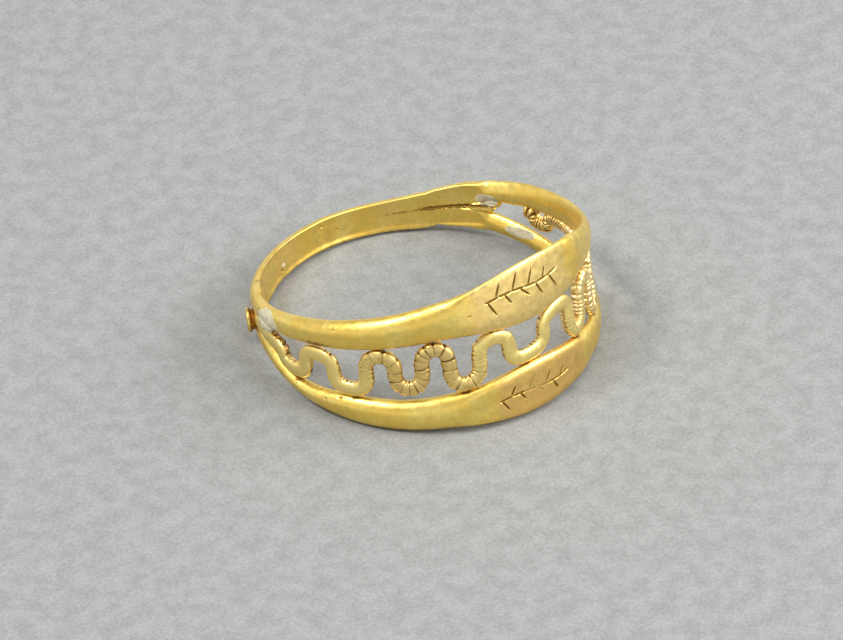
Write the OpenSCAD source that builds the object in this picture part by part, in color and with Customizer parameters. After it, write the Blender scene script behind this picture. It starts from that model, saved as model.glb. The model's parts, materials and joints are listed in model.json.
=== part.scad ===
// Openwork finger ring of gold, lying on its side with the bezel towards -Y.
// A flat back band divides into an upper and a lower hoop. Each hoop widens to a
// leaf-shaped panel at the bezel, and a wavy wire fills the opening between them.
// Angles run round the finger hole from the middle of the bezel, towards +X.

/* [Finger hole] */
// Radius of the round hole for the finger
bore_r = 9.2; // [8:0.1:10.5]
// Angle between the finger hole's axis and the vertical, as the ring lies
lean = 10.4; // [8:0.1:12]

/* [Hoops] */
// Factor on the thickness of the band, the hoops and the panels
thickness_factor = 1; // [0.9:0.05:1.2]
// Depth of the soft inner faces that the finger hole trims away
inner_trim = 0.06; // [0.04:0.01:0.1]
// Share of the thickness that lies inside the widest point
rim_share = 0.4; // [0.3:0.05:0.45]
// Squareness of the inner face, 2 is round
inner_squareness = 3.5; // [3:0.5:6]
// Squareness of the domed outer face of the hoops
hoop_squareness = 2.3; // [2:0.1:3]
// Squareness of the flattened outer face of the panels
panel_squareness = 4.5; // [3:0.5:6]
// Angle from the middle of the bezel to the end of a panel
panel_reach = 24; // [18:1:30]
// Angle over which a panel runs out into its hoop
panel_fade = 10; // [6:1:14]

/* [Wavy wire] */
// Diameter of the wire
wire_d = 0.88; // [0.7:0.02:0.9]
// Radius of the bends at the wire's turns
bend_r = 1; // [0.8:0.1:1.2]
// Steepness of the wire's legs, 0 is a plain wave
leg_steepness = 0.95; // [0:0.05:1]
// Distance from the finger hole's wall to the wire
wire_set_back = 0.03; // [0.02:0.01:0.06]
// Hairline gap between the wire's turns and the hoops
solder_gap = 0.04; // [0.03:0.01:0.06]

/* [Shoulder disc] */
// Diameter of the disc over the left shoulder
disc_d = 1.45; // [1.2:0.05:1.6]
// Thickness of the disc
disc_t = 0.25; // [0.2:0.05:0.4]
// Distance from the outside of the hoops to the disc's inner face
disc_lift = 0.12; // [0.1:0.01:0.2]
// Angle of the disc round the ring
disc_angle = -121; // [-124:1:-118]
// Height of the disc's middle above the ring's middle plane
disc_height = -0.35; // [-0.4:0.05:0]
// Diameter of the stub under the disc
stub_d = 0.9; // [0.8:0.05:1.1]
// Length of the stub between the disc and the hoops
stub_l = 0.1; // [0.05:0.01:0.1]

/* [Hidden] */

// Columns of the two hoop tables
ANGLE = 0;
HEIGHT = 1;
HALF_WIDTH = 2;
THICKNESS = 3;

// Upper hoop, with the whole back band: angle, height, half width, thickness
upper_rows = [
    [-180, 0.10, 0.97, 0.70],
    [-155, 0.10, 1.03, 0.68],
    [-138, 0.14, 1.14, 0.68],
    [-124, 0.87, 0.62, 0.70],
    [-105, 1.28, 0.57, 0.80],
    [-85, 1.69, 0.72, 0.92],
    [-65, 2.03, 0.87, 0.98],
    [-45, 2.43, 1.01, 1.00],
    [-25, 2.86, 1.23, 0.95],
    [0, 3.10, 1.82, 0.85],
    [25, 3.08, 1.45, 0.78],
    [45, 2.58, 0.93, 0.74],
    [65, 1.87, 0.80, 0.76],
    [85, 1.40, 0.82, 0.80],
    [105, 1.22, 0.74, 0.84],
    [124, 0.90, 0.66, 0.86],
    [138, 0.00, 1.12, 0.82],
    [155, -0.08, 0.99, 0.76],
    [180, 0.10, 0.97, 0.70]
];

// Lower hoop, its two ends inside the band: angle, height, half width, thickness
lower_rows = [
    [-142, -0.45, 0.44, 0.58],
    [-132, -0.54, 0.49, 0.61],
    [-120, -0.74, 0.54, 0.64],
    [-105, -1.16, 0.49, 0.68],
    [-85, -2.20, 0.43, 0.78],
    [-65, -2.69, 0.81, 0.88],
    [-45, -3.03, 0.92, 0.92],
    [-25, -3.01, 1.08, 0.90],
    [0, -2.91, 1.54, 0.85],
    [25, -2.95, 1.15, 0.82],
    [45, -2.95, 0.80, 0.80],
    [65, -2.64, 0.70, 0.80],
    [85, -2.18, 0.60, 0.80],
    [105, -1.40, 0.57, 0.78],
    [120, -0.78, 0.60, 0.76],
    [132, -0.60, 0.53, 0.75],
    [142, -0.52, 0.44, 0.68]
];

// Further columns of the wire's turns, and the size column of its middle line
SIDE = 1;
SHORT_BY = 2;
SIZE = 3;
LINE_SIZE = 2;

// Turns of the wire: angle, side it turns at (1 upper hoop, -1 lower hoop, 0 midway),
// how far it stops short of that hoop, and its share of the full diameter
turn_rows = [
    [-119, 0, 0, 0.4],
    [-110, 0, 0, 0.85],
    [-102, 0, 0, 1],
    [-87, -1, 0.1, 1],
    [-77.5, 1, 0.1, 1],
    [-63.5, -1, 0, 1],
    [-52.5, 1, 0, 1],
    [-43.5, -1, 0.4, 1],
    [-34, 1, 0, 1],
    [-25, -1, 0, 1],
    [-13.5, 1, 0, 1],
    [-2.5, -1, 0, 1],
    [16.5, 1, 0, 1],
    [24.5, -1, 0, 1],
    [34.5, 1, 0, 1],
    [44.5, -1, 0, 1],
    [55, 1, 0, 1],
    [65, -1, 0, 1],
    [79, 1, 0, 1],
    [92, -1, 0.35, 1],
    [100, 1, 0, 1]
];

wire_r = wire_d / 2;
wire_path_r = bore_r + wire_set_back + wire_r;
hoop_sides = 12;
hoop_step = 3.75;
wire_sides = 8;
steps_a_turn = 8;
bore_length = 14;
bore_sides = 120;
disc_sides = 48;

// Row of a table at or just before an angle
function row_at(rows, a, i = 0) =
    i + 2 < len(rows) && rows[i + 1][ANGLE] <= a ? row_at(rows, a, i + 1) : i;

// Slope of a column at a row, level at the table's ends
function slope(rows, i, column) =
    i == 0 || i == len(rows) - 1
    ? 0
    : (rows[i + 1][column] - rows[i - 1][column]) / (rows[i + 1][ANGLE] - rows[i - 1][ANGLE]);

// Value of a column at any angle, on a smooth curve through the rows
function value_at(rows, a, column) =
    let (i = row_at(rows, a))
    let (span = rows[i + 1][ANGLE] - rows[i][ANGLE])
    let (u = (a - rows[i][ANGLE]) / span)
    rows[i][column] * (1 + 2 * u) * (1 - u) * (1 - u)
    + slope(rows, i, column) * span * u * (1 - u) * (1 - u)
    + rows[i + 1][column] * u * u * (3 - 2 * u)
    + slope(rows, i + 1, column) * span * u * u * (u - 1);

// Point at an angle round the hole, a radius and a height
function round_point(a, r, z) = [r * sin(a), -r * cos(a), z];

// 1 on the panels, 0 on the hoops, with a soft change between
function panel_at(a) =
    let (u = min(1, max(0, (panel_reach + panel_fade / 2 - abs(a)) / panel_fade)))
    u * u * (3 - 2 * u);

// Cosine or sine drawn out towards a square
function squared(v, squareness) = sign(v) * pow(abs(v), 2 / squareness);

// Cross-section of a hoop at an angle, as points on the model
function hoop_section(rows, a) =
    let (t = thickness_factor * value_at(rows, a, THICKNESS))
    let (half_w = value_at(rows, a, HALF_WIDTH))
    let (z = value_at(rows, a, HEIGHT))
    let (outer = hoop_squareness + (panel_squareness - hoop_squareness) * panel_at(a))
    [
        for (i = [0 : hoop_sides - 1])
            let (turn = 360 * (i + 0.5) / hoop_sides)
            let (inside = cos(turn) < 0)
            let (squareness = inside ? inner_squareness : outer)
            let (reach = inside ? rim_share * t + inner_trim : (1 - rim_share) * t)
            round_point(
                a,
                bore_r + rim_share * t + reach * squared(cos(turn), squareness),
                z + half_w * squared(sin(turn), squareness)
            )
    ];

// Quads between neighbouring sections, and the two end faces of an open sweep
function side_faces(sections, sides, closed) = [
    for (i = [0 : sections - (closed ? 1 : 2)])
        for (j = [0 : sides - 1])
            let (p = i * sides)
            let (q = ((i + 1) % sections) * sides)
            let (k = (j + 1) % sides)
            [p + j, p + k, q + k, q + j]
];
function end_faces(sections, sides) = [
    [for (j = [sides - 1 : -1 : 0]) j],
    [for (j = [0 : sides - 1]) (sections - 1) * sides + j]
];

// Solid that runs through a list of sections
module sweep(sections, closed = false) {
    sides = len(sections[0]);
    polyhedron(
        points = [for (section = sections) each section],
        faces = concat(
            side_faces(len(sections), sides, closed),
            closed ? [] : end_faces(len(sections), sides)
        )
    );
}

upper_sections = [for (a = [-180 : hoop_step : 180 - hoop_step]) hoop_section(upper_rows, a)];
lower_start = lower_rows[0][ANGLE];
lower_count = ceil((lower_rows[len(lower_rows) - 1][ANGLE] - lower_start) / hoop_step);
lower_step = (lower_rows[len(lower_rows) - 1][ANGLE] - lower_start) / lower_count;
lower_sections = [for (i = [0 : lower_count]) hoop_section(lower_rows, lower_start + i * lower_step)];

// Height of the opening's edge at the upper (1) or lower (-1) hoop, or its middle (0)
function edge_at(a, side) =
    let (above = value_at(upper_rows, a, HEIGHT) - value_at(upper_rows, a, HALF_WIDTH))
    let (below = value_at(lower_rows, a, HEIGHT) + value_at(lower_rows, a, HALF_WIDTH))
    side > 0 ? above : side < 0 ? below : (above + below) / 2;

// Slope of that edge along the wire's path, over one degree
function edge_slope(a, side) =
    (edge_at(a + 0.5, side) - edge_at(a - 0.5, side)) / (wire_path_r * PI / 180);

// Height of the wire's middle line at a turn, where its bend rests on a sloping edge
function turn_height(row) =
    let (slope = edge_slope(row[ANGLE], row[SIDE]))
    let (lift = (wire_r + bend_r) * (sqrt(1 + slope * slope) - 1))
    edge_at(row[ANGLE], row[SIDE]) - row[SIDE] * (wire_r + solder_gap + lift + row[SHORT_BY]);

// Middle line of the wire as angle, height and size, a steepened wave from turn to turn
wire_line = [
    for (i = [0 : len(turn_rows) - 2])
        let (here = turn_rows[i])
        let (next = turn_rows[i + 1])
        for (k = [0 : steps_a_turn - (i == len(turn_rows) - 2 ? 0 : 1)])
            let (u = k / steps_a_turn)
            let (along = u + leg_steepness * sin(360 * u) / (2 * PI))
            let (rise = (1 - cos(180 * u)) / 2)
            [
                here[ANGLE] + (next[ANGLE] - here[ANGLE]) * along,
                turn_height(here) + (turn_height(next) - turn_height(here)) * rise,
                here[SIZE] + (next[SIZE] - here[SIZE]) * rise
            ]
];
wire_points = [for (p = wire_line) round_point(p[ANGLE], wire_path_r, p[HEIGHT])];

function unit(v) = v / norm(v);

// Round section of the wire, square to its middle line
function wire_section(i) =
    let (along = unit(wire_points[min(i + 1, len(wire_points) - 1)] - wire_points[max(i - 1, 0)]))
    let (out = round_point(wire_line[i][ANGLE], 1, 0))
    let (across = unit(cross(along, out)))
    let (up = cross(across, along))
    [
        for (j = [0 : wire_sides - 1])
            let (turn = 360 * (j + 0.5) / wire_sides)
            wire_points[i] + wire_r * wire_line[i][LINE_SIZE] * (cos(turn) * up - sin(turn) * across)
    ];
wire_sections = [for (i = [0 : len(wire_points) - 1]) wire_section(i)];

// How far the leaning ring is raised and shifted, so that it stands on the origin
function leaned(p) = [p.x, p.y * cos(lean) + p.z * sin(lean), p.z * cos(lean) - p.y * sin(lean)];
outline = [for (section = concat(upper_sections, lower_sections)) each [for (p = section) leaned(p)]];
low_corner = [for (k = [0 : 2]) min([for (p = outline) p[k]])];
high_corner = [for (k = [0 : 2]) max([for (p = outline) p[k]])];
middle = (low_corner + high_corner) / 2;

// Places the ring, modelled round its own axis, as it lies on the floor
module laid_down() {
    translate([-middle.x, -middle.y, -low_corner.z])
        rotate([-lean, 0, 0])
            children();
}

// Band, both hoops and both panels: gold strip, forged and soldered into one
module hoop_frame() {
    color("goldenrod")
        laid_down()
            difference() {
                union() {
                    sweep(upper_sections, closed = true);
                    sweep(lower_sections);
                }
                cylinder(r = bore_r, h = bore_length, center = true, $fn = bore_sides);
            }
}

// Beaded wire, bent to a wave and soldered between the hoops at its turns
module serpentine_wire() {
    color("darkgoldenrod")
        laid_down()
            sweep(wire_sections);
}

// Small disc on a stub, soldered over the point where the hoops part
module shoulder_disc() {
    hoop_t = thickness_factor * value_at(upper_rows, disc_angle, THICKNESS);
    color("gold")
        laid_down()
            rotate([0, 0, disc_angle])
                translate([0, -bore_r - hoop_t - disc_lift, disc_height])
                    rotate([90, 0, 0]) {
                        cylinder(d = disc_d, h = disc_t, $fn = disc_sides);
                        translate([0, 0, -stub_l])
                            cylinder(d = stub_d, h = stub_l + disc_t / 2, $fn = disc_sides);
                    }
}

hoop_frame();
serpentine_wire();
shoulder_disc();
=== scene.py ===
# Openwork gold finger ring, lying on its side on a pale floor with its bezel towards -Y.
# Each piece is modelled in millimetres round the finger hole's axis, and is then laid down in metres.
import bisect
import json
import math
import random

import bmesh
import bpy
from mathutils import Matrix, Vector, bvhtree, noise


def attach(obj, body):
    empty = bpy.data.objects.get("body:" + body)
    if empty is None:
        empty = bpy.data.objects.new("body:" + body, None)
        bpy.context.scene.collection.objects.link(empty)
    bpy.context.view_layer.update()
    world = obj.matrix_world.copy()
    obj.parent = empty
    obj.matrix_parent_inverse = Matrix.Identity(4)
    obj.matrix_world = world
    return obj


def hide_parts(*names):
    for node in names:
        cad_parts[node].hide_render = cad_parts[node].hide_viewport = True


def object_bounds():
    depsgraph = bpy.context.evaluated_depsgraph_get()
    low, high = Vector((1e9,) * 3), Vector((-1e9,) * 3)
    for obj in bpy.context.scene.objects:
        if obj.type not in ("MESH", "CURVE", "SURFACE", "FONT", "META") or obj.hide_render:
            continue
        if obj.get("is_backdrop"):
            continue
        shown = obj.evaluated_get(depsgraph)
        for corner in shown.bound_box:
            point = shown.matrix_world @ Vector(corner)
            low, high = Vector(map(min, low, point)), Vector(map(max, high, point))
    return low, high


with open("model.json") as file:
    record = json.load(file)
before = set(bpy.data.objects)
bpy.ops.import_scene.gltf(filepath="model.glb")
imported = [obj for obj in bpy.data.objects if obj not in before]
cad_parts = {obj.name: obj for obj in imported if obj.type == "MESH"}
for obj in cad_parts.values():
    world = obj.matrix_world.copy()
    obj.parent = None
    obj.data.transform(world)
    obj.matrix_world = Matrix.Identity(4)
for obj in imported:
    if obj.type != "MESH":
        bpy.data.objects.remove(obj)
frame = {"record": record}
cad_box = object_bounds()


# Band, upper hoop and its panel
# A strip of gold lies flat round the back of the finger and is forged to a rounded hoop over the front,
# where it widens to a leaf-shaped panel that is filed flat. Every edge is rubbed soft by wear.
MM = 0.001
finger_hole = frame["record"]["mounts"][0]
bore_r = finger_hole["dims"]["r_mm"]
lean = math.atan2(finger_hole["axis"][1], finger_hole["axis"][2])
laid_down = (
    Matrix.Translation(finger_hole["pos_m"])
    @ Matrix.Rotation(-lean, 4, "X")
    @ Matrix.Scale(MM, 4)
)

ANGLE, HEIGHT, HALF_WIDTH, THICKNESS = range(4)
# Angle round the ring from the middle of the bezel, height, half width and thickness
upper_hoop_rows = [
    (-180, 0.10, 0.97, 0.70),
    (-155, 0.10, 1.03, 0.68),
    (-138, 0.14, 1.14, 0.68),
    (-124, 0.87, 0.62, 0.70),
    (-105, 1.28, 0.57, 0.80),
    (-85, 1.69, 0.72, 0.92),
    (-65, 2.03, 0.87, 0.98),
    (-45, 2.43, 1.01, 1.00),
    (-25, 2.86, 1.23, 0.95),
    (0, 3.10, 1.82, 0.85),
    (25, 3.08, 1.45, 0.78),
    (45, 2.58, 0.93, 0.74),
    (65, 1.87, 0.80, 0.76),
    (85, 1.40, 0.82, 0.80),
    (105, 1.22, 0.74, 0.84),
    (124, 0.90, 0.66, 0.86),
    (138, 0.00, 1.12, 0.82),
    (155, -0.08, 0.99, 0.76),
    (180, 0.10, 0.97, 0.70),
]
# Angles at which the flat strip of the back, the rounded rod and the panel pass into one another
strip_from, strip_fade = 117, 5
rod_from, rod_fade = 15, 25
panel_reach, panel_fade = 19, 15
# Share of the thickness that faces the finger, and how square the quarters of a section are
rim_share, rod_rim_share = 0.28, 0.5
strip_trim, rod_trim = 0.06, -0.01
dome_squareness, foot_squareness = 2.1, 2.6
rod_squareness, rod_chamfer = 2.1, 1.4
strip_squareness = 4.6
panel_crown = 0.26
ridge_softness, bore_softness = 0.3, 0.04
# At the right shoulder the lower strip laps over the upper one, with a seam and a lip on the inside.
lap_at, lap_end, lap_rise = 139.5, 142, 0.09
lap_start_fade, lap_end_fade = 12, 3
lip_depth, lip_height, lip_fade, lip_top_fade = 0.08, 0.3, 0.18, 0.4
seam_start, seam_end = 118, 143
seam_opening, seam_closing = 4, 12
seam_step, seam_edge, seam_step_top = 0.1, 0.06, 1.4
seam_middle, seam_fall, seam_waver, seam_wave = 0.2, 0.009, 0.02, 4
# Hand work leaves long waves and finer ripples in the metal.
hand_wobble, wobble_pitch = 0.014, 0.9
ripple_share, ripple_pitch = 0.3, 3.1
# A hoop starts as a plain bar of radius 1, bent to a circle. Where the panel goes its outside is cut finer.
blank_r, hoop_sides, upper_hoop_steps = 10, 60, 440
panel_face, panel_cuts = 0.8, 3


def value_at(rows, angle, column):
    """Value of a table's column at an angle in degrees, on a smooth curve through its rows."""
    i = bisect.bisect_right(rows, angle, key=lambda row: row[ANGLE]) - 1
    i = min(max(i, 0), len(rows) - 2)

    def slope(k):
        if k in (0, len(rows) - 1):
            return 0
        rise = rows[k + 1][column] - rows[k - 1][column]
        return rise / (rows[k + 1][ANGLE] - rows[k - 1][ANGLE])

    span = rows[i + 1][ANGLE] - rows[i][ANGLE]
    u = (angle - rows[i][ANGLE]) / span
    return (
        rows[i][column] * (1 + 2 * u) * (1 - u) ** 2
        + slope(i) * span * u * (1 - u) ** 2
        + rows[i + 1][column] * u * u * (3 - 2 * u)
        + slope(i + 1) * span * u * u * (u - 1)
    )


def eased(u):
    """0 to 1 with a soft start and end."""
    u = min(max(u, 0), 1)
    return u * u * (3 - 2 * u)


def soft_min(a, b, softness):
    """The smaller of two values, rounded where they meet."""
    overlap = max(softness - abs(a - b), 0) / softness
    return min(a, b) - overlap * overlap * softness / 4


def ring_point(angle, radius, height):
    """Point at an angle in degrees round the finger hole's axis."""
    turn = math.radians(angle)
    return Vector((radius * math.sin(turn), -radius * math.cos(turn), height))


def ring_place(point):
    """Angle in degrees, radius and height of a point."""
    return math.degrees(math.atan2(point.x, -point.y)), math.hypot(point.x, point.y), point.z


def seam_height(angle):
    """Height of the seam inside the band, where the lower strip laps over the upper one."""
    waver = seam_waver * noise.noise(Vector((angle / seam_wave, 0, 0)))
    return seam_middle - seam_fall * (angle - seam_start) + waver


def seam_relief(rows, angle, height):
    """How far the upper strip stands back from the lower one at the seam inside the band."""
    if rows is not upper_hoop_rows:
        return 0
    apart = eased((angle - strip_from) / seam_opening) * eased((seam_end - angle) / seam_closing)
    above = height - seam_height(angle)
    return seam_step * apart * eased(above / seam_edge) * eased(seam_step_top - above)


def lip_relief(rows, angle, height, below_top):
    """How far the strip's inside stands back from the lip along its foot."""
    held = math.copysign(max(abs(angle), lap_end), angle)
    foot = value_at(upper_hoop_rows, held, HEIGHT) - value_at(upper_hoop_rows, held, HALF_WIDTH)
    lip = eased((foot + lip_height - height) / lip_fade)
    top = eased(below_top / lip_top_fade) if rows is upper_hoop_rows else 1
    return lip_depth * eased((abs(angle) - strip_from) / strip_fade) * (1 - lip) * top


def hoop_surface(rows, panel, angle, turn):
    """Point on a hoop at an angle round the ring and a turn round its section, 0 facing outwards."""
    on_strip = eased((abs(angle) - strip_from) / strip_fade)
    on_panel = eased((panel_reach + panel_fade - abs(angle)) / panel_fade)
    on_rod = max(eased((angle - rod_from) / rod_fade), on_panel) * (1 - on_strip)
    inner = (rim_share + (rod_rim_share - rim_share) * on_rod) * value_at(rows, angle, THICKNESS)
    outer = value_at(rows, angle, THICKNESS) - inner
    half_width = value_at(rows, angle, HALF_WIDTH)
    if math.cos(turn) < 0:
        rounded = rod_squareness
        if math.sin(turn) > 0:
            rounded += (rod_chamfer - rod_squareness) * eased((angle - rod_from) / rod_fade)
        squareness = rounded + (strip_squareness - rounded) * on_strip
        depth = inner + rod_trim + (strip_trim - rod_trim) * on_strip
    else:
        squareness = dome_squareness if math.sin(turn) > 0 else foot_squareness
        depth = outer + panel_crown * on_panel
    spread = (abs(math.cos(turn)) ** squareness + abs(math.sin(turn)) ** squareness) ** (-1 / squareness)
    out = depth * spread * math.cos(turn)
    up = half_width * spread * math.sin(turn)
    if math.cos(turn) > 0:
        across = up / half_width
        facet = outer + panel_crown * (1 - on_panel)
        facet += on_panel * (panel["tilt"] * across - panel["hollow"] * (1 - across * across))
        out = soft_min(out, facet, ridge_softness)
        out -= sprig_depth(panel, angle, up)
    radius = -soft_min(-(bore_r + inner + out), -bore_r, bore_softness)
    height = value_at(rows, angle, HEIGHT) + up
    lap = eased((lap_at - angle) / lap_end_fade) * eased((angle - strip_from) / lap_start_fade)
    height += lap_rise * lap * eased(up / half_width)
    if math.cos(turn) < 0:
        radius += seam_relief(rows, angle, height)
        radius += lip_relief(rows, angle, height, half_width - up)
    place = ring_point(angle, radius, height)
    wobble = hand_wobble * noise.noise(place * wobble_pitch)
    wobble += ripple_share * hand_wobble * noise.noise(place * ripple_pitch)
    if math.cos(turn) > 0:
        place += ring_point(angle, 1, 0) * wobble
    else:
        place.z += wobble
    return place


# The sprig on each panel is a stem with slanting leaves on both sides, cut with a graver. A panel's face
# has a tilt and a hollow, and its sprig has a stem from one place to another and leaves of one size.
upper_sprig = {
    "tilt": -0.28,
    "hollow": 0.0,
    "middle": 0.42,
    "stem": (-2.7, 2.6),
    "leaves": 9,
    "leaf": (0.42, 0.78),
    "worn": (0, 0),
}
stem_bend, stem_strokes, stem_margin = 0.12, 6, 0.3
first_leaf, leaf_gap = 0.3, 0.08
leaf_spread, rise_rhythm, reach_rhythm = 0.22, 2.4, 5.1
# A stroke enters short and shallow, is deepest soon after, and thins out towards its end.
stroke_half_width, stroke_depth = 0.085, 0.08
entry_fullness, entry_growth = 0.45, 5
exit_fullness, exit_growth = 0.3, 2.5
thinnest_share = 0.4
burr_height, burr_width = 0.006, 0.04
worn_away, worn_fade = 0.75, 0.3


def sprig_strokes(panel):
    """Strokes of a sprig, each as its two ends in millimetres along and across the panel."""
    start, end = panel["stem"]
    reach, rise = panel["leaf"]

    def on_stem(share):
        return start + (end - start) * share, panel["middle"] + stem_bend * math.sin(math.tau * share)

    knots = [on_stem(i / stem_strokes) for i in range(stem_strokes + 1)]
    strokes = list(zip(knots, knots[1:]))
    for i in range(panel["leaves"]):
        along, across = on_stem((i + first_leaf) / (panel["leaves"] + 2 * first_leaf))
        side = 1 if i % 2 else -1
        higher = 1 + leaf_spread * math.sin(rise_rhythm * i + 1)
        longer = 1 + leaf_spread * math.sin(reach_rhythm * i)
        tip = (along + reach * longer, across + side * rise * higher)
        strokes.append(((along, across + side * leaf_gap), tip))
    return strokes


def stroke_cut(stroke, along, across):
    """Depth of one graver stroke at a point of the panel, with a low burr at its edges."""
    (x0, y0), (x1, y1) = stroke
    length_squared = (x1 - x0) ** 2 + (y1 - y0) ** 2
    u = ((along - x0) * (x1 - x0) + (across - y0) * (y1 - y0)) / length_squared
    u = min(max(u, 0), 1)
    distance = math.hypot(along - x0 - u * (x1 - x0), across - y0 - u * (y1 - y0))
    fullness = min(1, entry_growth * u + entry_fullness, exit_growth * (1 - u) + exit_fullness)
    half_width = stroke_half_width * (thinnest_share + (1 - thinnest_share) * fullness)
    cut = stroke_depth * fullness * max(0, 1 - distance / half_width)
    burr = burr_height * fullness * math.exp(-((distance - half_width) / burr_width) ** 2)
    return cut - burr


def sprig_depth(panel, angle, up):
    """How deep the sprig is cut at an angle and a height above the hoop's middle line."""
    along = math.radians(angle) * blank_r
    start, end = panel["stem"]
    if not start - stem_margin < along < end + stem_margin:
        return 0
    cuts = [stroke_cut(stroke, along, up) for stroke in panel["strokes"]]
    deepest = max(cuts)
    depth = deepest if deepest > 0 else min(cuts)
    worn_from, worn_to = panel["worn"]
    faint = eased((along - worn_from) / worn_fade) * eased((worn_to - along) / worn_fade)
    return depth * (1 - worn_away * faint)


upper_sprig["strokes"] = sprig_strokes(upper_sprig)


def hoop_blank(start, sweep, steps):
    """A plain round bar bent to a circle or an arc, from a start and through a sweep in degrees."""
    blank = bmesh.new()
    place = (
        Matrix.Rotation(math.radians(start), 4, "Z")
        @ Matrix.Translation((0, -blank_r, 0))
        @ Matrix.Rotation(math.radians(90), 4, "Y")
    )
    bmesh.ops.create_circle(blank, segments=hoop_sides, radius=1, matrix=place)
    bmesh.ops.spin(
        blank,
        geom=blank.verts[:] + blank.edges[:],
        cent=(0, 0, 0),
        axis=(0, 0, 1),
        angle=math.radians(sweep),
        steps=steps,
        use_merge=sweep == 360,
    )
    if sweep < 360:
        bmesh.ops.holes_fill(blank, edges=[edge for edge in blank.edges if edge.is_boundary])
    panel_edges = set()
    for face in blank.faces:
        angle, radius, height = ring_place(face.calc_center_median())
        on_face = abs(angle) < panel_reach and abs(height) < panel_face and radius > blank_r
        if len(face.verts) == 4 and on_face:
            panel_edges.update(face.edges)
    bmesh.ops.subdivide_edges(blank, edges=list(panel_edges), cuts=panel_cuts, use_grid_fill=True)
    return blank


def forge(blank, rows, panel):
    """Gives the bar the hoop's own sections."""
    for vertex in blank.verts:
        angle, radius, height = ring_place(vertex.co)
        vertex.co = hoop_surface(rows, panel, angle, math.atan2(height, radius - blank_r))
    bmesh.ops.recalc_face_normals(blank, faces=blank.faces)


def to_piece(mesh, name):
    """Makes a smooth object of a mesh that is still in millimetres round the finger hole."""
    data = bpy.data.meshes.new(name)
    mesh.to_mesh(data)
    mesh.free()
    data.shade_smooth()
    piece = bpy.data.objects.new(name, data)
    bpy.context.scene.collection.objects.link(piece)
    return piece


def joined(piece, tool, operation):
    """Adds another piece's metal to a piece, or cuts its shape out, and does away with that other piece."""
    step = piece.modifiers.new("joined", "BOOLEAN")
    step.operation = operation
    step.solver = "MANIFOLD"
    step.object = tool
    result = bpy.data.meshes.new_from_object(piece.evaluated_get(bpy.context.evaluated_depsgraph_get()))
    piece.modifiers.clear()
    piece.data = result
    piece.data.materials.clear()
    bpy.data.objects.remove(tool)


upper_hoop = hoop_blank(-180, 360, upper_hoop_steps)
forge(upper_hoop, upper_hoop_rows, upper_sprig)
gold_hoops = to_piece(upper_hoop, "gold_hoops")


# Lower hoop and its panel
# A second strip springs from the lower half of the band at both shoulders and is soldered there into one
# with it. Its panel is filed slightly hollow, and its shorter sprig is rubbed faint in the middle.
lower_hoop_rows = [
    (-142, -0.45, 0.44, 0.58),
    (-132, -0.54, 0.49, 0.61),
    (-120, -0.74, 0.54, 0.64),
    (-105, -1.16, 0.49, 0.68),
    (-85, -2.20, 0.43, 0.78),
    (-65, -2.69, 0.81, 0.88),
    (-45, -3.03, 0.92, 0.92),
    (-25, -3.03, 1.11, 0.90),
    (0, -2.91, 1.54, 0.85),
    (25, -2.95, 1.15, 0.82),
    (45, -2.95, 0.80, 0.80),
    (65, -2.64, 0.70, 0.80),
    (85, -2.18, 0.60, 0.80),
    (105, -1.40, 0.57, 0.78),
    (120, -0.78, 0.60, 0.76),
    (132, -0.60, 0.53, 0.75),
    (142, -0.52, 0.44, 0.68),
]
lower_sprig = {
    "tilt": 0.02,
    "hollow": 0.05,
    "middle": -0.05,
    "stem": (-2.55, 2.6),
    "leaves": 8,
    "leaf": (0.4, 0.62),
    "worn": (-1.0, 0.9),
}
lower_sprig["strokes"] = sprig_strokes(lower_sprig)
lower_hoop_steps = 350

start, end = lower_hoop_rows[0][ANGLE], lower_hoop_rows[-1][ANGLE]
lower_hoop = hoop_blank(start, end - start, lower_hoop_steps)
forge(lower_hoop, lower_hoop_rows, lower_sprig)
joined(gold_hoops, to_piece(lower_hoop, "lower_strip"), "UNION")


# Deposits, slit and pits of the hoops
# Pale burial crust still fills both forks between the hoops. On the right the fork runs on inside the band
# as a slit, where the strips part, and small pits are scattered over the gold.
# Fork deposits: angle, radius, height, and half sizes along, outwards and upwards
fork_deposits = [
    (-103, 9.82, 0.84, 0.85, 0.28, 0.40),
    (120.5, 9.52, 0.02, 0.95, 0.28, 0.36),
    (115.5, 9.48, 0.36, 0.55, 0.22, 0.26),
]
deposit_lump, lump_size = 0.035, 0.28

deposits = bmesh.new()
for angle, radius, height, along, out, rise in fork_deposits:
    turned = Matrix.Rotation(math.radians(angle), 4, "Z")
    place = Matrix.Translation(ring_point(angle, radius, height)) @ turned
    drop = bmesh.ops.create_icosphere(deposits, subdivisions=5, radius=1)["verts"]
    for vertex in drop:
        rough = noise.noise((vertex.co + Vector((angle, 0, 0))) * along / lump_size)
        vertex.co *= 1 + deposit_lump / out * rough
        vertex.co = place @ Vector((vertex.co.x * along, vertex.co.y * out, vertex.co.z * rise))
joined(gold_hoops, to_piece(deposits, "deposits"), "UNION")

# The slit is a thin wedge that runs along the seam and thins out to a hairline.
slit_start, slit_end, slit_steps = 117, 141, 40
slit_half_depth, slit_half_height = 0.42, 0.06
slit_rise, slit_end_share = 0.03, 0.1

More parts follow.
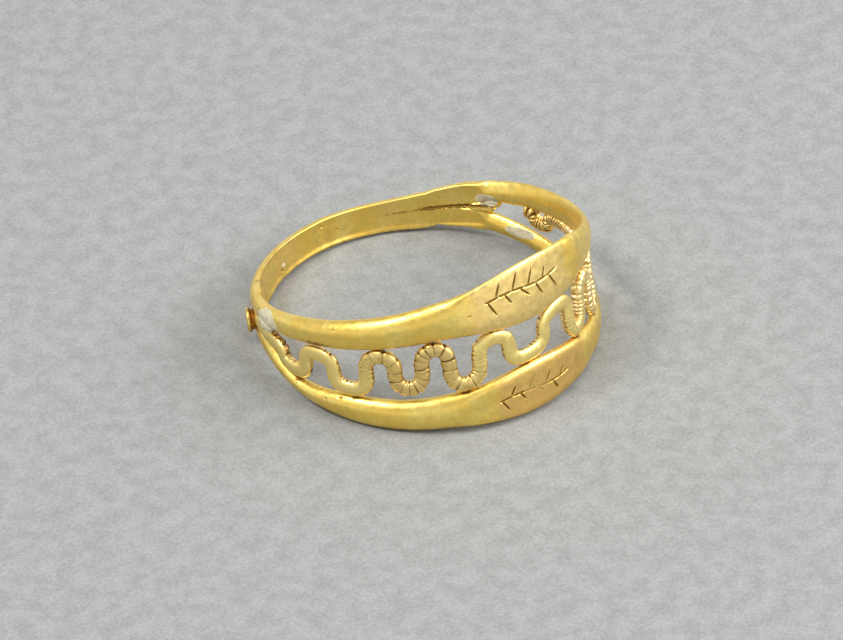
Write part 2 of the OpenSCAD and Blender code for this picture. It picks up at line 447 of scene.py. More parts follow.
slit = bmesh.new()
upright = Matrix.Rotation(math.radians(slit_start), 4, "Z") @ Matrix.Translation((0, -bore_r, 0))
upright = upright @ Matrix.Rotation(math.radians(90), 4, "Y")
bmesh.ops.create_circle(slit, segments=4, radius=1, matrix=upright)
bmesh.ops.spin(
    slit,
    geom=slit.verts[:] + slit.edges[:],
    cent=(0, 0, 0),
    axis=(0, 0, 1),
    angle=math.radians(slit_end - slit_start),
    steps=slit_steps,
)
bmesh.ops.holes_fill(slit, edges=[edge for edge in slit.edges if edge.is_boundary])
for vertex in slit.verts:
    angle, radius, height = ring_place(vertex.co)
    thinned = slit_end_share + (1 - slit_end_share) * eased((slit_end - angle) / (slit_end - slit_start))
    wall_r = bore_r + (radius - bore_r) * slit_half_depth
    vertex.co = ring_point(angle, wall_r, seam_height(angle) + slit_rise)
    vertex.co.z += height * slit_half_height * thinned
bmesh.ops.recalc_face_normals(slit, faces=slit.faces)
joined(gold_hoops, to_piece(slit, "slit"), "DIFFERENCE")

# Pits: angle, height, 1 on the outside or -1 inside, and radius
seen_pits = [
    (-58, 2.21, 1, 0.04),
    (-66.6, 2.51, 1, 0.035),
    (-156.5, -0.45, -1, 0.12),
    (174, 0.05, -1, 0.05),
    (-179.4, 0.68, -1, 0.04),
    (-77.5, -1.89, 1, 0.08),
    (-68.5, -2.02, 1, 0.09),
    (-74, -2.2, 1, 0.05),
]
scattered_pits, pit_spread = 40, 0.8
smallest_pit, largest_pit = 0.02, 0.038
pit_flatness, pit_roughness, pit_lumps, pit_variety = 0.45, 0.35, 0.8, 3
outside_r, inside_r = 14, 1

random.seed(11)
pits = list(seen_pits)
while len(pits) < len(seen_pits) + scattered_pits:
    angle = random.uniform(-180, 180)
    rows = random.choice((upper_hoop_rows, lower_hoop_rows))
    share = random.uniform(-pit_spread, pit_spread)
    height = value_at(rows, angle, HEIGHT) + share * value_at(rows, angle, HALF_WIDTH)
    size = random.uniform(smallest_pit, largest_pit)
    if abs(angle) > panel_reach and (rows is upper_hoop_rows or abs(angle) < rows[-1][ANGLE]):
        pits.append((angle, height, random.choice((1, 1, -1)), size))
probe = bmesh.new()
probe.from_mesh(gold_hoops.data)
gold_surface = bvhtree.BVHTree.FromBMesh(probe)
probe.free()
pit_tools = bmesh.new()
pit_places = []
for angle, height, side, size in pits:
    start = ring_point(angle, outside_r if side == 1 else inside_r, height)
    place, normal, *_ = gold_surface.ray_cast(start, ring_point(angle, -side, 0).normalized())
    if place is None:
        continue
    pit_places.append((place, size))
    turn = normal.to_track_quat("Z", "Y").to_matrix().to_4x4()
    for vertex in bmesh.ops.create_icosphere(pit_tools, subdivisions=2, radius=size)["verts"]:
        lumpy = noise.noise(vertex.co / size * pit_lumps + place * pit_variety)
        vertex.co *= 1 + pit_roughness * lumpy
        vertex.co.z *= pit_flatness
        vertex.co = place + turn @ vertex.co
joined(gold_hoops, to_piece(pit_tools, "pit_tools"), "DIFFERENCE")

# The cuts leave slivers far finer than any tool mark, which are merged away so that the mesh is closed.
sliver, healing_rounds = 0.00002, 3
healed = bmesh.new()
healed.from_mesh(gold_hoops.data)
bmesh.ops.triangulate(healed, faces=healed.faces)
for _ in range(healing_rounds):
    bmesh.ops.dissolve_degenerate(healed, dist=sliver, edges=healed.edges)
    bmesh.ops.collapse(healed, edges=[edge for edge in healed.edges if not edge.is_manifold])
    bmesh.ops.triangulate(healed, faces=healed.faces)
healed.to_mesh(gold_hoops.data)
healed.free()


# Worn gold of the hoops
# The gold is rich and a little coppery, satin from wear and burial. Brown tarnish stays in the graver's
# strokes. Where the wire touches, the gold is browned, partly as tarnish at the joints and partly as
# painted shade in the crevices, and the slit inside the band is darkened with painted shade. The deposits
# are pale and dull. Each point of the mesh holds how much of each it has.
# Tarnished places: angle, radius, height, half sizes along and upwards, and strength
tarnished = [
    (-74.5, 10.05, 1.38, 1.30, 0.2, 0.7),
    (-128, 9.4, 1.4, 0.3, 0.3, 0.5),
    (142.7, 9.2, 0.06, 0.4, 0.2, 0.6),
    (137, 9.2, 0.03, 1.2, 0.1, 0.6),
    (150, 9.2, 0.04, 1.3, 0.06, 0.7),
    (-120, 9.9, 0.9, 0.5, 0.4, 0.6),
    (-92, 9.6, -1.75, 0.8, 0.15, 0.7),
    (14, 9.9, 1.35, 0.7, 0.15, 0.6),
]
# Pale deposits: angle, radius, height, and half sizes along, outwards and upwards
pale_deposits = [
    (-99.5, 9.9, 1.30, 1.45, 0.7, 0.80),
    (117.2, 9.3, 0.64, 0.9, 0.35, 0.5),
    (103.5, 9.25, -1.13, 1.5, 0.3, 0.38),
    (-157.7, 9.2, -0.16, 0.2, 0.2, 0.2),
]
# Places where the wire touches the hoops: angle, and 1 at the upper hoop or -1 at the lower one. There the
# gold is browned, partly as tarnish at the joints and partly as painted shade in the crevice.
wire_marks = [
    (-87, -1), (-77.5, 1), (-63.5, -1), (-52.5, 1), (-34, 1), (-25, -1), (-13.5, 1), (-2.5, -1),
    (16.5, 1), (24.5, -1), (33.5, 1), (43, -1), (52, 1), (61, -1), (70, 1), (102, 1),
]
wire_mark_r, wire_mark_size, wire_mark_strength = 9.67, 0.36, 0.8
stain_depth, stain_limit = 0.3, 6
# Middle angle of the upper (1) and the lower (-1) bezel, and how far from the bore their outsides start
bezel_middles = {1: 0, -1: 5}
bezel_reach, bezel_fade, bezel_from = 26, 12, 0.5
stroke_from, pit_dirt = 0.4, 0.22
# The slit's painted shade starts a little before the slit and spreads past its lips.
slit_shade_lead, slit_shade_reach = 2, 1.6


def edge_at(angle, side):
    """Height of the opening's edge at the upper hoop (1) or the lower hoop (-1), or its middle (0)."""
    above = value_at(upper_hoop_rows, angle, HEIGHT) - value_at(upper_hoop_rows, angle, HALF_WIDTH)
    below = value_at(lower_hoop_rows, angle, HEIGHT) + value_at(lower_hoop_rows, angle, HALF_WIDTH)
    return {1: above, -1: below, 0: (above + below) / 2}[side]


mark_looks = (wire_mark_size, wire_mark_size / 2, wire_mark_strength)
# Tarnished places, and painted shade where the wire touches the hoops, as one list of brown spots
tarnish_and_shade_spots = [*tarnished]
for angle, side in wire_marks:
    tarnish_and_shade_spots.append((angle, wire_mark_r, edge_at(angle, side), *mark_looks))


def tarnish_and_shade_at(point):
    """How brown the gold is at a point, from 0 to 1: tarnish, and painted shade where the wire touches."""
    deepest = 0
    for angle, radius, height, along, rise, strength in tarnish_and_shade_spots:
        here = Matrix.Rotation(math.radians(-angle), 4, "Z") @ point - Vector((0, -radius, height))
        away = (here.x / along) ** 2 + (here.y / max(rise, stain_depth)) ** 2 + (here.z / rise) ** 2
        if away < stain_limit:
            deepest = max(deepest, strength * math.exp(-away))
    return deepest


def deposit_at(point):
    """How deep inside a pale deposit a point lies: 1 in its middle and 0 at its edge."""
    deepest = 0
    for angle, radius, height, along, out, rise in pale_deposits:
        here = Matrix.Rotation(math.radians(-angle), 4, "Z") @ point - Vector((0, -radius, height))
        deepest = max(deepest, 1 - math.hypot(here.x / along, here.y / out, here.z / rise))
    return deepest


def cut_at(point):
    """How far down a graver's stroke or a pit a point lies, from 0 to 1, and along the slit how strong its
    painted shade is.
    """
    angle, radius, height = ring_place(point)
    # Painted shade in and round the slit, where little light gets in.
    if slit_start - slit_shade_lead < angle < slit_end and radius < bore_r + slit_half_depth:
        from_slit = abs(height - seam_height(angle) - slit_rise) / slit_half_height
        return eased(slit_shade_reach - from_slit)
    for place, size in pit_places:
        if (point - place).length_squared < size * size:
            return pit_dirt
    if abs(angle) > panel_reach or radius < bore_r + stroke_from:
        return 0
    rows, panel = (upper_hoop_rows, upper_sprig) if height > 0 else (lower_hoop_rows, lower_sprig)
    return max(0, sprig_depth(panel, angle, height - value_at(rows, angle, HEIGHT)) / stroke_depth)


def store(piece, name, worth):
    """Keeps a value on each point of a piece's mesh."""
    values = piece.data.attributes.new(name, "FLOAT", "POINT")
    values.data.foreach_set("value", [worth(vertex.co) for vertex in piece.data.vertices])


def bezel_at(point, side):
    """How much a point is part of the upper (1) or the lower (-1) bezel's outside, from 0 to 1."""
    angle, radius, height = ring_place(point)
    if (height - edge_at(angle, 0)) * side < 0 or radius < bore_r + bezel_from:
        return 0
    return eased((bezel_reach - abs(angle - bezel_middles[side])) / bezel_fade)


store(gold_hoops, "upper_bezel", lambda point: bezel_at(point, 1))
store(gold_hoops, "lower_bezel", lambda point: bezel_at(point, -1))
# Tarnish, and painted shade in the crevices where the wire touches
store(gold_hoops, "tarnish", tarnish_and_shade_at)
store(gold_hoops, "deposit", deposit_at)
store(gold_hoops, "cut", cut_at)


def shader_node(tree, kind, inputs=None, **settings):
    """Adds a shader node. An input is a number, a colour or another node's output."""
    node = tree.nodes.new("ShaderNode" + kind)
    for name, value in settings.items():
        setattr(node, name, value)
    for key, value in (inputs or {}).items():
        if isinstance(value, bpy.types.NodeSocket):
            tree.links.new(value, node.inputs[key])
        else:
            node.inputs[key].default_value = value
    return node


def grain(tree, size, detail=3, stretch=(1, 1, 1)):
    """Soft noise whose lumps are about a size in millimetres, in the piece's own space."""
    place = shader_node(tree, "TexCoord").outputs["Object"]
    stretched = shader_node(tree, "Mapping", {"Vector": place, "Scale": stretch}).outputs[0]
    scale = 1 / (size * MM)
    return shader_node(tree, "TexNoise", {"Vector": stretched, "Scale": scale, "Detail": detail}).outputs[0]


def mask(tree, value, low, high, off=0, on=1):
    """Goes softly from one value below low to another above high."""
    inputs = {"Value": value, "From Min": low, "From Max": high, "To Min": off, "To Max": on}
    return shader_node(tree, "MapRange", inputs, interpolation_type="SMOOTHSTEP").outputs[0]


def blended(tree, share, first, second):
    """Two colours mixed by a share from 0 to 1."""
    inputs = {0: share, 6: first, 7: second}
    return shader_node(tree, "Mix", inputs, data_type="RGBA").outputs[2]


def reckoned(tree, operation, first, second):
    """Result of a sum on two values."""
    return shader_node(tree, "Math", {0: first, 1: second}, operation=operation).outputs[0]


def stored(tree, name):
    """A value that the piece holds at each of its points."""
    return shader_node(tree, "Attribute", attribute_name=name).outputs["Fac"]


def patchy(tree, name, size, detail, low, high, on=1):
    """Mask over the places where the piece holds a value, with ragged edges."""
    uneven = reckoned(tree, "ADD", stored(tree, name), grain(tree, size, detail))
    return mask(tree, uneven, low, high, on=on)


def dulled(tree, rough, where, roughness):
    """Roughness that is at least a given one where a mask is on."""
    return reckoned(tree, "MAXIMUM", rough, reckoned(tree, "MULTIPLY", where, roughness))


def bumped(tree, height, distance, normal=None):
    """Surface normal with a height laid on it, in millimetres."""
    inputs = {"Height": height, "Distance": distance * MM, "Strength": 1.0}
    if normal:
        inputs["Normal"] = normal
    return shader_node(tree, "Bump", inputs).outputs[0]


def new_material(name):
    """Empty material with a surface shader, and its node tree."""
    material = bpy.data.materials.new(name)
    material.use_nodes = True
    tree = material.node_tree
    tree.nodes.clear()
    surface = shader_node(tree, "BsdfPrincipled")
    shader_node(tree, "OutputMaterial", {"Surface": surface.outputs[0]})
    return material, tree, surface


def set_surface(tree, surface, **inputs):
    """Sets the surface shader's sockets to numbers, colours or other nodes' outputs."""
    for name, value in inputs.items():
        socket = surface.inputs[name.replace("_", " ")]
        if isinstance(value, bpy.types.NodeSocket):
            tree.links.new(value, socket)
        else:
            socket.default_value = value


bright_gold = (0.98, 0.75, 0.21, 1)
deep_gold = (0.93, 0.64, 0.13, 1)
copper_gold = (0.96, 0.63, 0.21, 1)
peach_gold = (0.98, 0.71, 0.27, 1)
copper_stain = (0.90, 0.57, 0.18, 1)
# Brown of tarnish and specks, also used for painted shade where the wire touches and behind the disc
tarnish_and_shade_brown = (0.34, 0.17, 0.035, 1)
# Dark brown of the dirt in the strokes and pits, also used for the painted shade of the slit
groove_dirt_and_slit_shade = (0.27, 0.16, 0.03, 1)
olive_gold = (0.80, 0.60, 0.15, 1)
crust_grey = (0.58, 0.54, 0.39, 1)
crust_shade = (0.46, 0.41, 0.27, 1)
crust_fraying = 0.5


def worn_gold():
    """Hand-worked gold with a satin wear, brown tarnish, fine scratches and pale deposits."""
    material, tree, surface = new_material("worn_gold")
    tone = mask(tree, grain(tree, size=1.7, detail=4), low=0.36, high=0.66)
    colour = blended(tree, tone, deep_gold, bright_gold)
    coppery = mask(tree, grain(tree, size=3.1, detail=2), low=0.5, high=0.72, on=0.5)
    colour = blended(tree, coppery, colour, copper_gold)
    rubbed = patchy(tree, "upper_bezel", size=0.5, detail=3, low=0.7, high=1.3)
    colour = blended(tree, rubbed, colour, peach_gold)
    stained = patchy(tree, "lower_bezel", size=0.9, detail=4, low=0.8, high=1.4)
    colour = blended(tree, stained, colour, copper_stain)
    flecks = mask(tree, grain(tree, size=0.28, detail=6), low=0.42, high=0.68, on=0.55)
    colour = blended(tree, flecks, colour, olive_gold)
    specks = mask(tree, grain(tree, size=0.16, detail=2), low=0.66, high=0.74, on=0.35)
    colour = blended(tree, specks, colour, tarnish_and_shade_brown)
    # Tarnish, and painted shade in the crevices where the wire touches the hoops
    browned = patchy(tree, "tarnish", size=0.22, detail=5, low=0.72, high=1.15)
    colour = blended(tree, browned, colour, tarnish_and_shade_brown)
    # Dirt in the graver's strokes and pits, and painted shade in and round the slit
    cut = mask(tree, stored(tree, "cut"), low=0.02, high=0.35)
    colour = blended(tree, cut, colour, groove_dirt_and_slit_shade)
    frayed = reckoned(tree, "MULTIPLY", grain(tree, size=0.35, detail=5), crust_fraying)
    crust = mask(tree, reckoned(tree, "ADD", stored(tree, "deposit"), frayed), low=0.36, high=0.44)
    crust_tone = mask(tree, grain(tree, size=0.3, detail=4), low=0.35, high=0.65)
    colour = blended(tree, crust, colour, blended(tree, crust_tone, crust_shade, crust_grey))
    rough = mask(tree, grain(tree, size=0.4, detail=6), low=0.3, high=0.7, off=0.29, on=0.44)
    rough = dulled(tree, rough, crust, roughness=0.9)
    rough = dulled(tree, rough, browned, roughness=0.6)
    rough = dulled(tree, rough, cut, roughness=0.7)
    normal = bumped(tree, grain(tree, size=0.8, detail=2), distance=0.025)
    normal = bumped(tree, grain(tree, size=0.1, detail=4), distance=0.007, normal=normal)
    scratches = grain(tree, size=0.06, detail=2, stretch=(1, 1, 3))
    normal = bumped(tree, scratches, distance=0.001, normal=normal)
    crumbs = reckoned(tree, "MULTIPLY", crust, grain(tree, size=0.12, detail=5))
    normal = bumped(tree, crumbs, distance=0.03, normal=normal)
    metal = reckoned(tree, "SUBTRACT", 1.0, crust)
    set_surface(tree, surface, Base_Color=colour, Metallic=metal, Roughness=rough, Normal=normal)
    return material


gold_hoops.data.materials.append(worn_gold())
gold_hoops.data.transform(laid_down)
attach(gold_hoops, "root")
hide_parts("hoop_frame")


# Beaded wire
# A thick gold wire with pressed beads is bent to a wave and fills the opening between the hoops. On the
# ring it is soldered where its turns touch them; here each turn stops a small gap short of its hoop. Its
# outside is rubbed flat where other things brush over it.
SIDE, SHORT_BY, SIZE, BEAD, GROOVE, WORN = range(1, 7)
# Turns: angle, side (1 upper hoop, -1 lower hoop, 0 midway), how far short of that hoop, share of the
# full diameter, length of a bead, depth of its grooves, and how far the outside is rubbed flat
turn_rows = [
    (-123, 0, 0, 0.80, 0.80, 0.12, 0.9),
    (-112, 0, 0, 1.0, 0.80, 0.14, 0.95),
    (-102, 0, 0, 1.0, 0.60, 0.14, 0.95),
    (-87, -1, 0.10, 1.0, 0.48, 0.05, 0.9),
    (-77.5, 1, 0.10, 1.0, 0.42, 0.035, 1.0),
    (-63.5, -1, 0, 1.0, 0.36, 0.04, 0.9),
    (-52.5, 1, 0, 1.0, 0.50, 0.046, 0.4),
    (-43.5, -1, 0.40, 1.0, 0.45, 0.046, 0.3),
    (-34, 1, 0, 1.0, 0.45, 0.046, 0.3),
    (-25, -1, 0, 1.0, 0.40, 0.046, 0.4),
    (-13.5, 1, 0, 1.0, 0.42, 0.04, 0.85),
    (-2.5, -1, 0, 1.0, 0.42, 0.035, 1.0),
    (16.5, 1, 0, 1.0, 0.30, 0.04, 1.0),
    (24.5, -1, 0, 1.0, 0.24, 0.08, 0.6),
    (33.5, 1, 0, 1.0, 0.32, 0.09, 0.3),
    (43, -1, 0, 0.9, 0.32, 0.09, 0.2),
    (52, 1, 0.1, 0.7, 0.30, 0.09, 0.2),
    (61, -1, 0, 0.75, 0.25, 0.08, 0.1),
    (70, 1, 0, 0.8, 0.25, 0.08, 0.1),
    (87, 1, -0.35, 0.8, 0.24, 0.08, 0.1),
    (95.5, -1, 0.35, 0.95, 0.24, 0.07, 0.1),
    (102, 1, -0.25, 0.95, 0.24, 0.07, 0.1),
]
# Grooves of the middle turns, each by the number of the turn that it lies at or after
middle_grooves = [
    5.38, 5.45, 5.52, 5.58, 5.64, 5.70, 5.76, 5.88, 6.08, 6.30, 6.48, 6.66, 6.84,
    7.0, 7.12, 7.24, 7.36, 7.46, 7.52, 7.68, 7.78, 7.88, 8.0, 8.16, 8.36, 8.52,
    8.7, 8.86, 9.02, 9.12, 9.26, 9.34, 9.42, 9.5, 9.56, 9.62, 9.68, 9.8, 9.92,
]
# The wire lies just outside the bore. Its bends are round and its legs steep.
wire_r, wire_set_back, solder_gap = 0.44, 0.03, 0.04
wire_path_r = bore_r + wire_set_back + wire_r
bend_r, leg_steepness, half_degree = 1, 0.95, 0.5
# A worn place is filed down to a share of the radius and left slightly crowned.
flat_at_full_wear, flat_crown, wear_softness = 0.5, 0.09, 0.24
rub_reach, rub_fade = 0.27, 0.22
# Beads differ in length, the strength of their grooves, and how they swell and wander.
bead_lengths = (0.6, 0.85, 1.0, 1.1, 1.3)
weakest_groove, strongest_groove = 0.6, 1.3
groove_width, groove_widening = 0.025, 0.09
groove_lean, lean_pitch, lean_row = 0.25, 0.7, 3
first_groove, groove_clearance = -0.3, 0.2
bead_swell, bead_wander, fuller_share, aside_share = 0.012, 0.02, 0.5, 0.7
lump_height, lump_pitch = 0.012, 2.3
# Dirt stays at the sides of the left end, and comes off where the wire is rubbed or pale.
stain_from, stain_fade, side_stain = -90, 8, 1.0
pale_from, pale_to, pale_fade = 8, 88, 15
rubbed_clean, pale_clean = 0.9, 0.45
steps_a_turn, wire_sides, wire_rings = 40, 28, 2500


def turn_height(row):
    """Height of the wire's middle line at a turn, where its bend rests on a sloping edge."""
    before = edge_at(row[ANGLE] - half_degree, row[SIDE])
    slope = (edge_at(row[ANGLE] + half_degree, row[SIDE]) - before) / math.radians(wire_path_r)
    lift = (wire_r + bend_r) * (math.hypot(1, slope) - 1)
    return edge_at(row[ANGLE], row[SIDE]) - row[SIDE] * (wire_r + solder_gap + lift + row[SHORT_BY])


wire_line = []
for here, there in zip(turn_rows, turn_rows[1:]):
    for k in range(steps_a_turn):
        u = k / steps_a_turn
        along = u + leg_steepness * math.sin(math.tau * u) / math.tau
        rise = (1 - math.cos(math.pi * u)) / 2
        angle = here[ANGLE] + (there[ANGLE] - here[ANGLE]) * along
        height = turn_height(here) + (turn_height(there) - turn_height(here)) * rise
        looks = [here[c] + (there[c] - here[c]) * rise for c in (SIZE, BEAD, GROOVE, WORN)]
        wire_line.append((ring_point(angle, wire_path_r, height), *looks))
wire_travel = [0]
for before, after in zip(wire_line, wire_line[1:]):
    wire_travel.append(wire_travel[-1] + (after[0] - before[0]).length)
wire_length = wire_travel[-1]


def wire_at(travel):
    """Middle point of the wire, its direction and its looks at a distance along it."""
    i = min(max(bisect.bisect_right(wire_travel, travel) - 1, 0), len(wire_line) - 2)
    u = (travel - wire_travel[i]) / (wire_travel[i + 1] - wire_travel[i])
    here, there = wire_line[i], wire_line[i + 1]
    before, after = wire_line[max(i - 1, 0)][0], wire_line[min(i + 2, len(wire_line) - 1)][0]
    direction = (there[0] - before).lerp(after - here[0], u).normalized()
    return here[0].lerp(there[0], u), direction, [a + (b - a) * u for a, b in zip(here[1:], there[1:])]


random.seed(4)
grooves = [first_groove]
middle_travels = [wire_travel[round(turn * steps_a_turn)] for turn in middle_grooves]
while grooves[-1] < wire_length:
    bead_length = wire_at(min(max(grooves[-1], 0), wire_length))[2][1]
    grooves.append(grooves[-1] + bead_length * random.choice(bead_lengths))
middle_start, middle_end = middle_travels[0] - groove_clearance, middle_travels[-1] + groove_clearance
grooves = sorted([groove for groove in grooves if not middle_start < groove < middle_end] + middle_travels)
groove_strength = [random.uniform(weakest_groove, strongest_groove) for _ in grooves]
bead_shift = [[random.uniform(-1, 1) for _ in range(3)] for _ in grooves]


def bead_at(travel):
    """How deep the nearest groove is at a distance along the wire, the bead's swell and its own shifts."""
    i = min(max(bisect.bisect_right(grooves, travel) - 1, 0), len(grooves) - 2)
    bead = grooves[i + 1] - grooves[i]
    u = (travel - grooves[i]) / bead
    width = groove_width + groove_widening * bead
    sunk = groove_strength[i] * math.exp(-((u * bead / width) ** 2))
    sunk = max(sunk, groove_strength[i + 1] * math.exp(-(((1 - u) * bead / width) ** 2)))
    bulge = max(0, 1 - (2 * u - 1) ** 2)
    return sunk, bulge, [shift * math.sqrt(bulge) for shift in bead_shift[i]]


# The wire starts as a plain bar of length 1 and radius 1, and each of its points then goes to its place.
bar_half = 0.5
wire = bmesh.new()
bmesh.ops.create_cone(wire, cap_ends=True, segments=wire_sides, radius1=1, radius2=1, depth=1)
lengthwise = [edge for edge in wire.edges if edge.verts[0].co.z * edge.verts[1].co.z < 0]
bmesh.ops.subdivide_edges(wire, edges=lengthwise, cuts=wire_rings - 1)
rubbed = wire.verts.layers.float.new("rubbed")
sunken = wire.verts.layers.float.new("sunken")
pale = wire.verts.layers.float.new("pale")
for vertex in wire.verts:
    travel = (vertex.co.z + bar_half) * wire_length
    middle, direction, (share, bead, depth, worn) = wire_at(travel)
    outwards = Vector((middle.x, middle.y, 0)).normalized()
    sideways = direction.cross(outwards).normalized()
    outwards = sideways.cross(direction)
    around = math.atan2(vertex.co.y, vertex.co.x)
    slant = groove_lean * noise.noise(Vector((travel * lean_pitch, lean_row, 0)))
    sunk, bulge, (fuller, deeper, aside) = bead_at(travel + slant * math.sin(around))
    flat = wire_r * share * (1 - (1 - flat_at_full_wear) * worn)
    vertex[rubbed] = worn * eased((wire_r * share * math.cos(around) - flat + rub_reach) / rub_fade)
    relief = 1 - vertex[rubbed]
    swell = bead_swell * bulge + bead_wander * fuller_share * fuller
    radius = wire_r * share - relief * (depth * sunk - swell)
    out = radius * math.cos(around)
    flat += bead_wander * deeper * (1 - worn)
    flat -= flat_crown * worn * math.sin(around) ** 2
    angle = ring_place(middle)[0]
    stain = side_stain * eased((stain_from - angle) / stain_fade)
    vertex[pale] = eased((angle - pale_from) / pale_fade) * eased((pale_to - angle) / pale_fade)
    clean = (1 - rubbed_clean * vertex[rubbed]) * (1 - pale_clean * vertex[pale])
    vertex[sunken] = min(max(sunk, stain), 1) * clean
    lumps = lump_height * noise.noise(middle * lump_pitch + outwards * math.cos(around))
    out = soft_min(out, flat, wear_softness) + lumps
    across = radius * math.sin(around) + lumps + bead_wander * aside_share * aside * relief
    vertex.co = middle + outwards * (out - wire_r * (1 - share)) + sideways * across
bmesh.ops.recalc_face_normals(wire, faces=wire.faces)
if wire.calc_volume(signed=True) < 0:  # The recalculation can choose the wrong side on a wave.
    bmesh.ops.reverse_faces(wire, faces=wire.faces)
beaded_wire = to_piece(wire, "beaded_wire")


wire_side_dark = (0.72, 0.50, 0.16, 1)
wire_side_light = (0.88, 0.64, 0.25, 1)
wire_side_pale = (0.92, 0.70, 0.33, 1)
wire_rubbed = (0.98, 0.77, 0.27, 1)
wire_dirt = (0.16, 0.08, 0.016, 1)


def beaded_gold():
    """Gold wire, pale where it is rubbed and orange-brown at its sides and in its grooves."""
    material, tree, surface = new_material("beaded_gold")
    tone = mask(tree, grain(tree, size=0.6, detail=4), low=0.35, high=0.65)
    colour = blended(tree, tone, wire_side_dark, wire_side_light)
    paled = patchy(tree, "pale", size=0.4, detail=3, low=0.7, high=1.3, on=0.8)
    colour = blended(tree, paled, colour, wire_side_pale)
    worn_face = patchy(tree, "rubbed", size=0.25, detail=3, low=0.7, high=1.25)
    colour = blended(tree, worn_face, colour, wire_rubbed)
    dirty = patchy(tree, "sunken", size=0.3, detail=3, low=0.75, high=1.35)
    colour = blended(tree, dirty, colour, wire_dirt)
    normal = bumped(tree, grain(tree, size=0.25), distance=0.014)
    normal = bumped(tree, grain(tree, size=0.07), distance=0.004, normal=normal)
    rough = mask(tree, grain(tree, size=0.3), low=0.3, high=0.7, off=0.3, on=0.48)
    rough = dulled(tree, rough, dirty, roughness=0.5)
    set_surface(tree, surface, Base_Color=colour, Metallic=1.0, Roughness=rough, Normal=normal)
    return material


beaded_wire.data.materials.append(beaded_gold())
beaded_wire.data.transform(laid_down)
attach(beaded_wire, "root")
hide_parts("serpentine_wire")


# Disc over the left shoulder
# A small gold disc on a short stub covers the point where the wire starts between the parting hoops. It is
# cut from sheet, its rim is worn round, and it stands a little clear of the shoulder.
disc_r, disc_t, disc_sides = 0.725, 0.25, 96
disc_angle, disc_height, disc_lift = -121, -0.35, 0.12
stub_r, stub_l = 0.6, 0.4
rim_width, rim_drop = 0.14, 0.03
dish_width, dish_drop = 0.1, 0.02
sharp_corner, corner_r = 0.9, 0.07
shade_from, shade_reach = 0.7, 0.6
disc_seat_r = bore_r + value_at(upper_hoop_rows, disc_angle, THICKNESS) + disc_lift

disc = bmesh.new()
bmesh.ops.create_cone(
    disc, cap_ends=True, segments=disc_sides, radius1=disc_r, radius2=disc_r, depth=disc_t
)
outer_face = max(disc.faces, key=lambda face: face.calc_center_median().z)
inner_face = min(disc.faces, key=lambda face: face.calc_center_median().z)
bmesh.ops.inset_region(disc, faces=[inner_face], thickness=disc_r - stub_r)
stub = bmesh.ops.extrude_discrete_faces(disc, faces=[inner_face])["faces"]
bmesh.ops.translate(disc, verts=stub[0].verts, vec=(0, 0, -stub_l))
bmesh.ops.inset_region(disc, faces=[outer_face], thickness=rim_width, depth=-rim_drop)
bmesh.ops.inset_region(disc, faces=[outer_face], thickness=dish_width, depth=-dish_drop)
corners = [edge for edge in disc.edges if edge.calc_face_angle(0) > sharp_corner]
bmesh.ops.bevel(disc, geom=corners, offset=corner_r, segments=4, profile=0.5, affect="EDGES", material=-1)
bmesh.ops.recalc_face_normals(disc, faces=disc.faces)
bmesh.ops.transform(
    disc,
    verts=disc.verts,
    matrix=Matrix.Rotation(math.radians(disc_angle), 4, "Z")
    @ Matrix.Translation((0, -disc_seat_r - disc_t / 2, disc_height))
    @ Matrix.Rotation(math.radians(90), 4, "X"),
)
shoulder_button = to_piece(disc, "shoulder_button")


def shade_at(point):
    """How far down behind the disc's rim a point lies, from 0 to 1."""
    outwards = point.dot(ring_point(disc_angle, 1, 0))
    return eased((disc_seat_r + disc_t * shade_from - outwards) / (disc_t * shade_reach))


# Painted shade: the disc's back and its stub are coloured brown, as if shaded by the rim.
store(shoulder_button, "shade", shade_at)


def disc_gold():
    """Gold sheet, bright in front, and brown with painted shade behind the rim and on the stub."""
    material, tree, surface = new_material("disc_gold")
    tone = mask(tree, grain(tree, size=0.5, detail=4), low=0.35, high=0.65)
    colour = blended(tree, tone, wire_side_dark, bright_gold)
    # Painted shade behind the rim and on the stub
    browned = patchy(tree, "shade", size=0.25, detail=3, low=0.7, high=1.3)
    colour = blended(tree, browned, colour, tarnish_and_shade_brown)
    normal = bumped(tree, grain(tree, size=0.3), distance=0.015)
    rough = mask(tree, grain(tree, size=0.3), low=0.3, high=0.7, off=0.28, on=0.42)
    set_surface(tree, surface, Base_Color=colour, Metallic=1.0, Roughness=rough, Normal=normal)
    return material


shoulder_button.data.materials.append(disc_gold())
shoulder_button.data.transform(laid_down)
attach(shoulder_button, "root")
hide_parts("shoulder_disc")


# Camera, floor and light
# The camera looks down at the ring from the front left through a long lens, as in the photograph. The
# floor is plain pale board, and two soft windows and an overhead light shine on it under a dim sky.
view_azimuth = math.radians(-39)
view_elevation = math.radians(36.9)
view_distance = 450 * MM
pixels_per_metre = 17.434 / MM
image_width, image_height = 843, 640
hole_pixel_x, hole_pixel_y = 422.5, 285.8
sensor_width = 36
floor_reach = 0.6
floor_dark = (0.204, 0.210, 0.203, 1)
floor_light = (0.301, 0.307, 0.300, 1)
white = (1, 1, 1, 1)


def towards(azimuth, elevation):
    """Unit direction at an azimuth from the front and an elevation, both in radians."""
    flat = math.cos(elevation)
    return Vector((math.sin(azimuth) * flat, -math.cos(azimuth) * flat, math.sin(elevation)))


back = towards(view_azimuth, view_elevation)
right = Vector((math.cos(view_azimuth), math.sin(view_azimuth), 0))
up = back.cross(right)
camera_data = bpy.data.cameras.new("camera")
camera_data.sensor_width = sensor_width
camera_data.lens = sensor_width * view_distance * pixels_per_metre / image_width
camera = bpy.data.objects.new("camera", camera_data)
bpy.context.scene.collection.objects.link(camera)
aim = Vector(finger_hole["pos_m"])
aim -= right * (hole_pixel_x - image_width / 2) / pixels_per_metre
aim += up * (hole_pixel_y - image_height / 2) / pixels_per_metre
camera.matrix_world = (
    Matrix.Translation(aim + back * view_distance) @ Matrix((right, up, back)).transposed().to_4x4()
)
bpy.context.scene.camera = camera

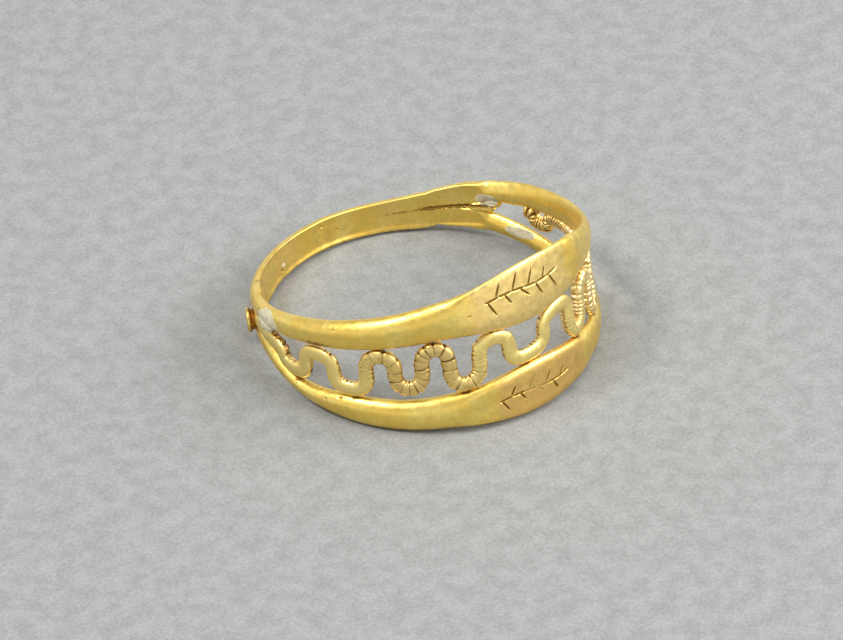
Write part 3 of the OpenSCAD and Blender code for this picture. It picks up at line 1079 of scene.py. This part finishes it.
floor_mesh = bmesh.new()
bmesh.ops.create_grid(floor_mesh, x_segments=1, y_segments=1, size=floor_reach)
floor_data = bpy.data.meshes.new("floor")
floor_mesh.to_mesh(floor_data)
floor_mesh.free()
floor = bpy.data.objects.new("floor", floor_data)
bpy.context.scene.collection.objects.link(floor)
floor_material, tree, surface = new_material("pale_floor")
mottle = mask(tree, grain(tree, size=1.1, detail=6), low=0.3, high=0.7, on=0.45)
fibres = mask(tree, grain(tree, size=0.2), low=0.3, high=0.7, on=0.55)
colour = blended(tree, reckoned(tree, "ADD", mottle, fibres), floor_dark, floor_light)
set_surface(tree, surface, Base_Color=colour, Roughness=0.95, Specular_IOR_Level=0.1)
floor.data.materials.append(floor_material)
floor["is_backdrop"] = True


def softbox(name, azimuth, elevation, distance, width, height, glow):
    """Soft rectangular light that faces the ring. Its glow is its own brightness, whatever its size."""
    data = bpy.data.lights.new(name, "AREA")
    data.shape = "RECTANGLE"
    data.size = width
    data.size_y = height
    data.energy = glow * math.pi * width * height
    place = towards(math.radians(azimuth), math.radians(elevation))
    light = bpy.data.objects.new(name, data)
    facing = place.to_track_quat("Z", "Y").to_matrix().to_4x4()
    light.matrix_world = Matrix.Translation(place * distance) @ facing
    bpy.context.scene.collection.objects.link(light)


softbox("left_window", azimuth=-108, elevation=57, distance=0.5, width=0.17, height=0.13, glow=24.0)
softbox("right_window", azimuth=45, elevation=35, distance=0.35, width=0.31, height=0.155, glow=8.0)
softbox("overhead", azimuth=90, elevation=78, distance=0.5, width=0.4, height=0.4, glow=1.8)

world = bpy.data.worlds.new("studio")
world.use_nodes = True
sky = world.node_tree
towards_sky = shader_node(sky, "TexCoord").outputs["Generated"]
aloft = shader_node(sky, "SeparateXYZ", {0: towards_sky}).outputs["Z"]
sky_glow = mask(sky, aloft, low=0.05, high=0.5, off=1.1, on=0.55)
sky.nodes["Background"].inputs["Color"].default_value = white
sky.links.new(sky_glow, sky.nodes["Background"].inputs["Strength"])
bpy.context.scene.world = world
bpy.context.scene.view_settings.view_transform = "Standard"

size = {"cad": [list(corner) for corner in cad_box], "visual": [list(corner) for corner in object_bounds()]}
